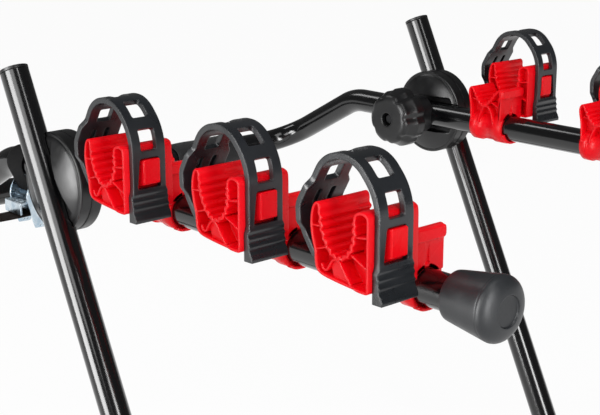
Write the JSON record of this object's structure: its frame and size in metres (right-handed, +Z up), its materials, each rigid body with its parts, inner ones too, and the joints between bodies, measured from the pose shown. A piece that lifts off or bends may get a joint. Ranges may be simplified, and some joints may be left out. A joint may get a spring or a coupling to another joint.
{
  "type": "strap-on bicycle rack",
  "caption": "Car bicycle rack of bent black tubes: folding arms on clamping hubs carry red V cradles with rubber ladder straps.",
  "frame": {"origin": "centre of the lower bar that rests on the car, on its tube axis", "axes": "+X to the car's right-hand side along the bars, +Y towards the car, +Z up; the arms point along -Y"},
  "size_m": [0.5797, 0.7131, 0.506],
  "materials": {
    "black_paint": "gloss powder coat",
    "red_plastic": "satin moulded",
    "black_rubber": "semi-gloss",
    "grey_rubber": "matte",
    "foam": "matte foam",
    "black_plastic": "matte moulded",
    "zinc_steel": "bright zinc plated",
    "webbing": "woven"
  },
  "bodies": {
    "uprights": {"lower_frame_left": "black_paint", "lower_frame_right": "black_paint", "lower_joiner": "black_plastic", "upright_plug_left": "black_plastic", "upright_plug_right": "black_plastic", "lower_pad_left": "foam", "lower_pad_right": "foam", "outer_disc_left": "black_plastic", "outer_disc_right": "black_plastic", "hub_bolt_left": "zinc_steel", "hub_bolt_right": "zinc_steel", "hub_insert_left": "zinc_steel", "hub_insert_right": "zinc_steel"},
    "arms": {"arm_frame_left": "black_paint", "arm_frame_right": "black_paint", "rear_joiner": "black_plastic", "end_cap_left": "grey_rubber", "end_cap_right": "grey_rubber", "rear_sleeve_left": "foam", "rear_sleeve_right": "foam", "inner_disc_left": "black_plastic", "inner_disc_right": "black_plastic", "saddle_left": "black_plastic", "saddle_right": "black_plastic", "hub_washer_left": "zinc_steel", "hub_washer_right": "zinc_steel", "webbing_loop": "webbing", "buckle_frame": "zinc_steel", "side_webbing": "webbing", "side_hook": "zinc_steel"},
    "cam": {"buckle_cam": "zinc_steel"},
    "knob_left": {"knob_left": "black_plastic"},
    "knob_right": {"knob_right": "black_plastic"},
    "cradle_left_1": {"cradle_left_1": "red_plastic", "strap_left_1": "black_rubber"},
    "tongue_left_1": {"tongue_left_1": "black_rubber"},
    "cradle_left_2": {"cradle_left_2": "red_plastic", "strap_left_2": "black_rubber"},
    "tongue_left_2": {"tongue_left_2": "black_rubber"},
    "cradle_left_3": {"cradle_left_3": "red_plastic", "strap_left_3": "black_rubber"},
    "tongue_left_3": {"tongue_left_3": "black_rubber"},
    "cradle_right_1": {"cradle_right_1": "red_plastic", "strap_right_1": "black_rubber"},
    "tongue_right_1": {"tongue_right_1": "black_rubber"},
    "cradle_right_2": {"cradle_right_2": "red_plastic", "strap_right_2": "black_rubber"},
    "tongue_right_2": {"tongue_right_2": "black_rubber"},
    "cradle_right_3": {"cradle_right_3": "red_plastic", "strap_right_3": "black_rubber"},
    "tongue_right_3": {"tongue_right_3": "black_rubber"}
  },
  "joints": [
    {"name": "arm_fold", "type": "hinge", "parent": "uprights", "child": "arms", "pos_m": [0, 0.1885, 0.38648], "axis": [1, 0, 0], "range_deg": [-40, 57]},
    {"name": "knob_left_turn", "type": "hinge", "parent": "arms", "child": "knob_left", "pos_m": [-0.174, 0.1885, 0.38648], "axis": [1, 0, 0], "continuous": true},
    {"name": "knob_right_turn", "type": "hinge", "parent": "arms", "child": "knob_right", "pos_m": [0.174, 0.1885, 0.38648], "axis": [1, 0, 0], "continuous": true},
    {"name": "cam_release", "type": "hinge", "parent": "arms", "child": "cam", "pos_m": [-0.22, 0.2725, 0.34748], "axis": [0, 1, 0], "range_deg": [0, 40]},
    {"name": "cradle_left_1_slide", "type": "slide", "parent": "arms", "child": "cradle_left_1", "axis": [0, 1, 0], "range_m": [-0.012, 0.012]},
    {"name": "strap_left_1_open", "type": "hinge", "parent": "cradle_left_1", "child": "tongue_left_1", "pos_m": [-0.262, 0.05545, 0.47967], "axis": [-1, 0, 0], "range_deg": [0, 100]},
    {"name": "cradle_left_2_slide", "type": "slide", "parent": "arms", "child": "cradle_left_2", "axis": [0, 1, 0], "range_m": [-0.012, 0.012]},
    {"name": "strap_left_2_open", "type": "hinge", "parent": "cradle_left_2", "child": "tongue_left_2", "pos_m": [-0.262, -0.07755, 0.47967], "axis": [-1, 0, 0], "range_deg": [0, 33]},
    {"name": "cradle_left_3_slide", "type": "slide", "parent": "arms", "child": "cradle_left_3", "axis": [0, 1, 0], "range_m": [-0.012, 0.012]},
    {"name": "strap_left_3_open", "type": "hinge", "parent": "cradle_left_3", "child": "tongue_left_3", "pos_m": [-0.262, -0.19955, 0.47967], "axis": [-1, 0, 0], "range_deg": [0, 100]},
    {"name": "cradle_right_1_slide", "type": "slide", "parent": "arms", "child": "cradle_right_1", "axis": [0, 1, 0], "range_m": [-0.012, 0.012]},
    {"name": "strap_right_1_open", "type": "hinge", "parent": "cradle_right_1", "child": "tongue_right_1", "pos_m": [0.262, 0.08745, 0.47967], "axis": [-1, 0, 0], "range_deg": [0, 100]},
    {"name": "cradle_right_2_slide", "type": "slide", "parent": "arms", "child": "cradle_right_2", "axis": [0, 1, 0], "range_m": [-0.012, 0.012]},
    {"name": "strap_right_2_open", "type": "hinge", "parent": "cradle_right_2", "child": "tongue_right_2", "pos_m": [0.262, -0.04955, 0.47967], "axis": [-1, 0, 0], "range_deg": [0, 33]},
    {"name": "cradle_right_3_slide", "type": "slide", "parent": "arms", "child": "cradle_right_3", "axis": [0, 1, 0], "range_m": [-0.012, 0.012]},
    {"name": "strap_right_3_open", "type": "hinge", "parent": "cradle_right_3", "child": "tongue_right_3", "pos_m": [0.262, -0.17155, 0.47967], "axis": [-1, 0, 0], "range_deg": [0, 100]}
  ]
}
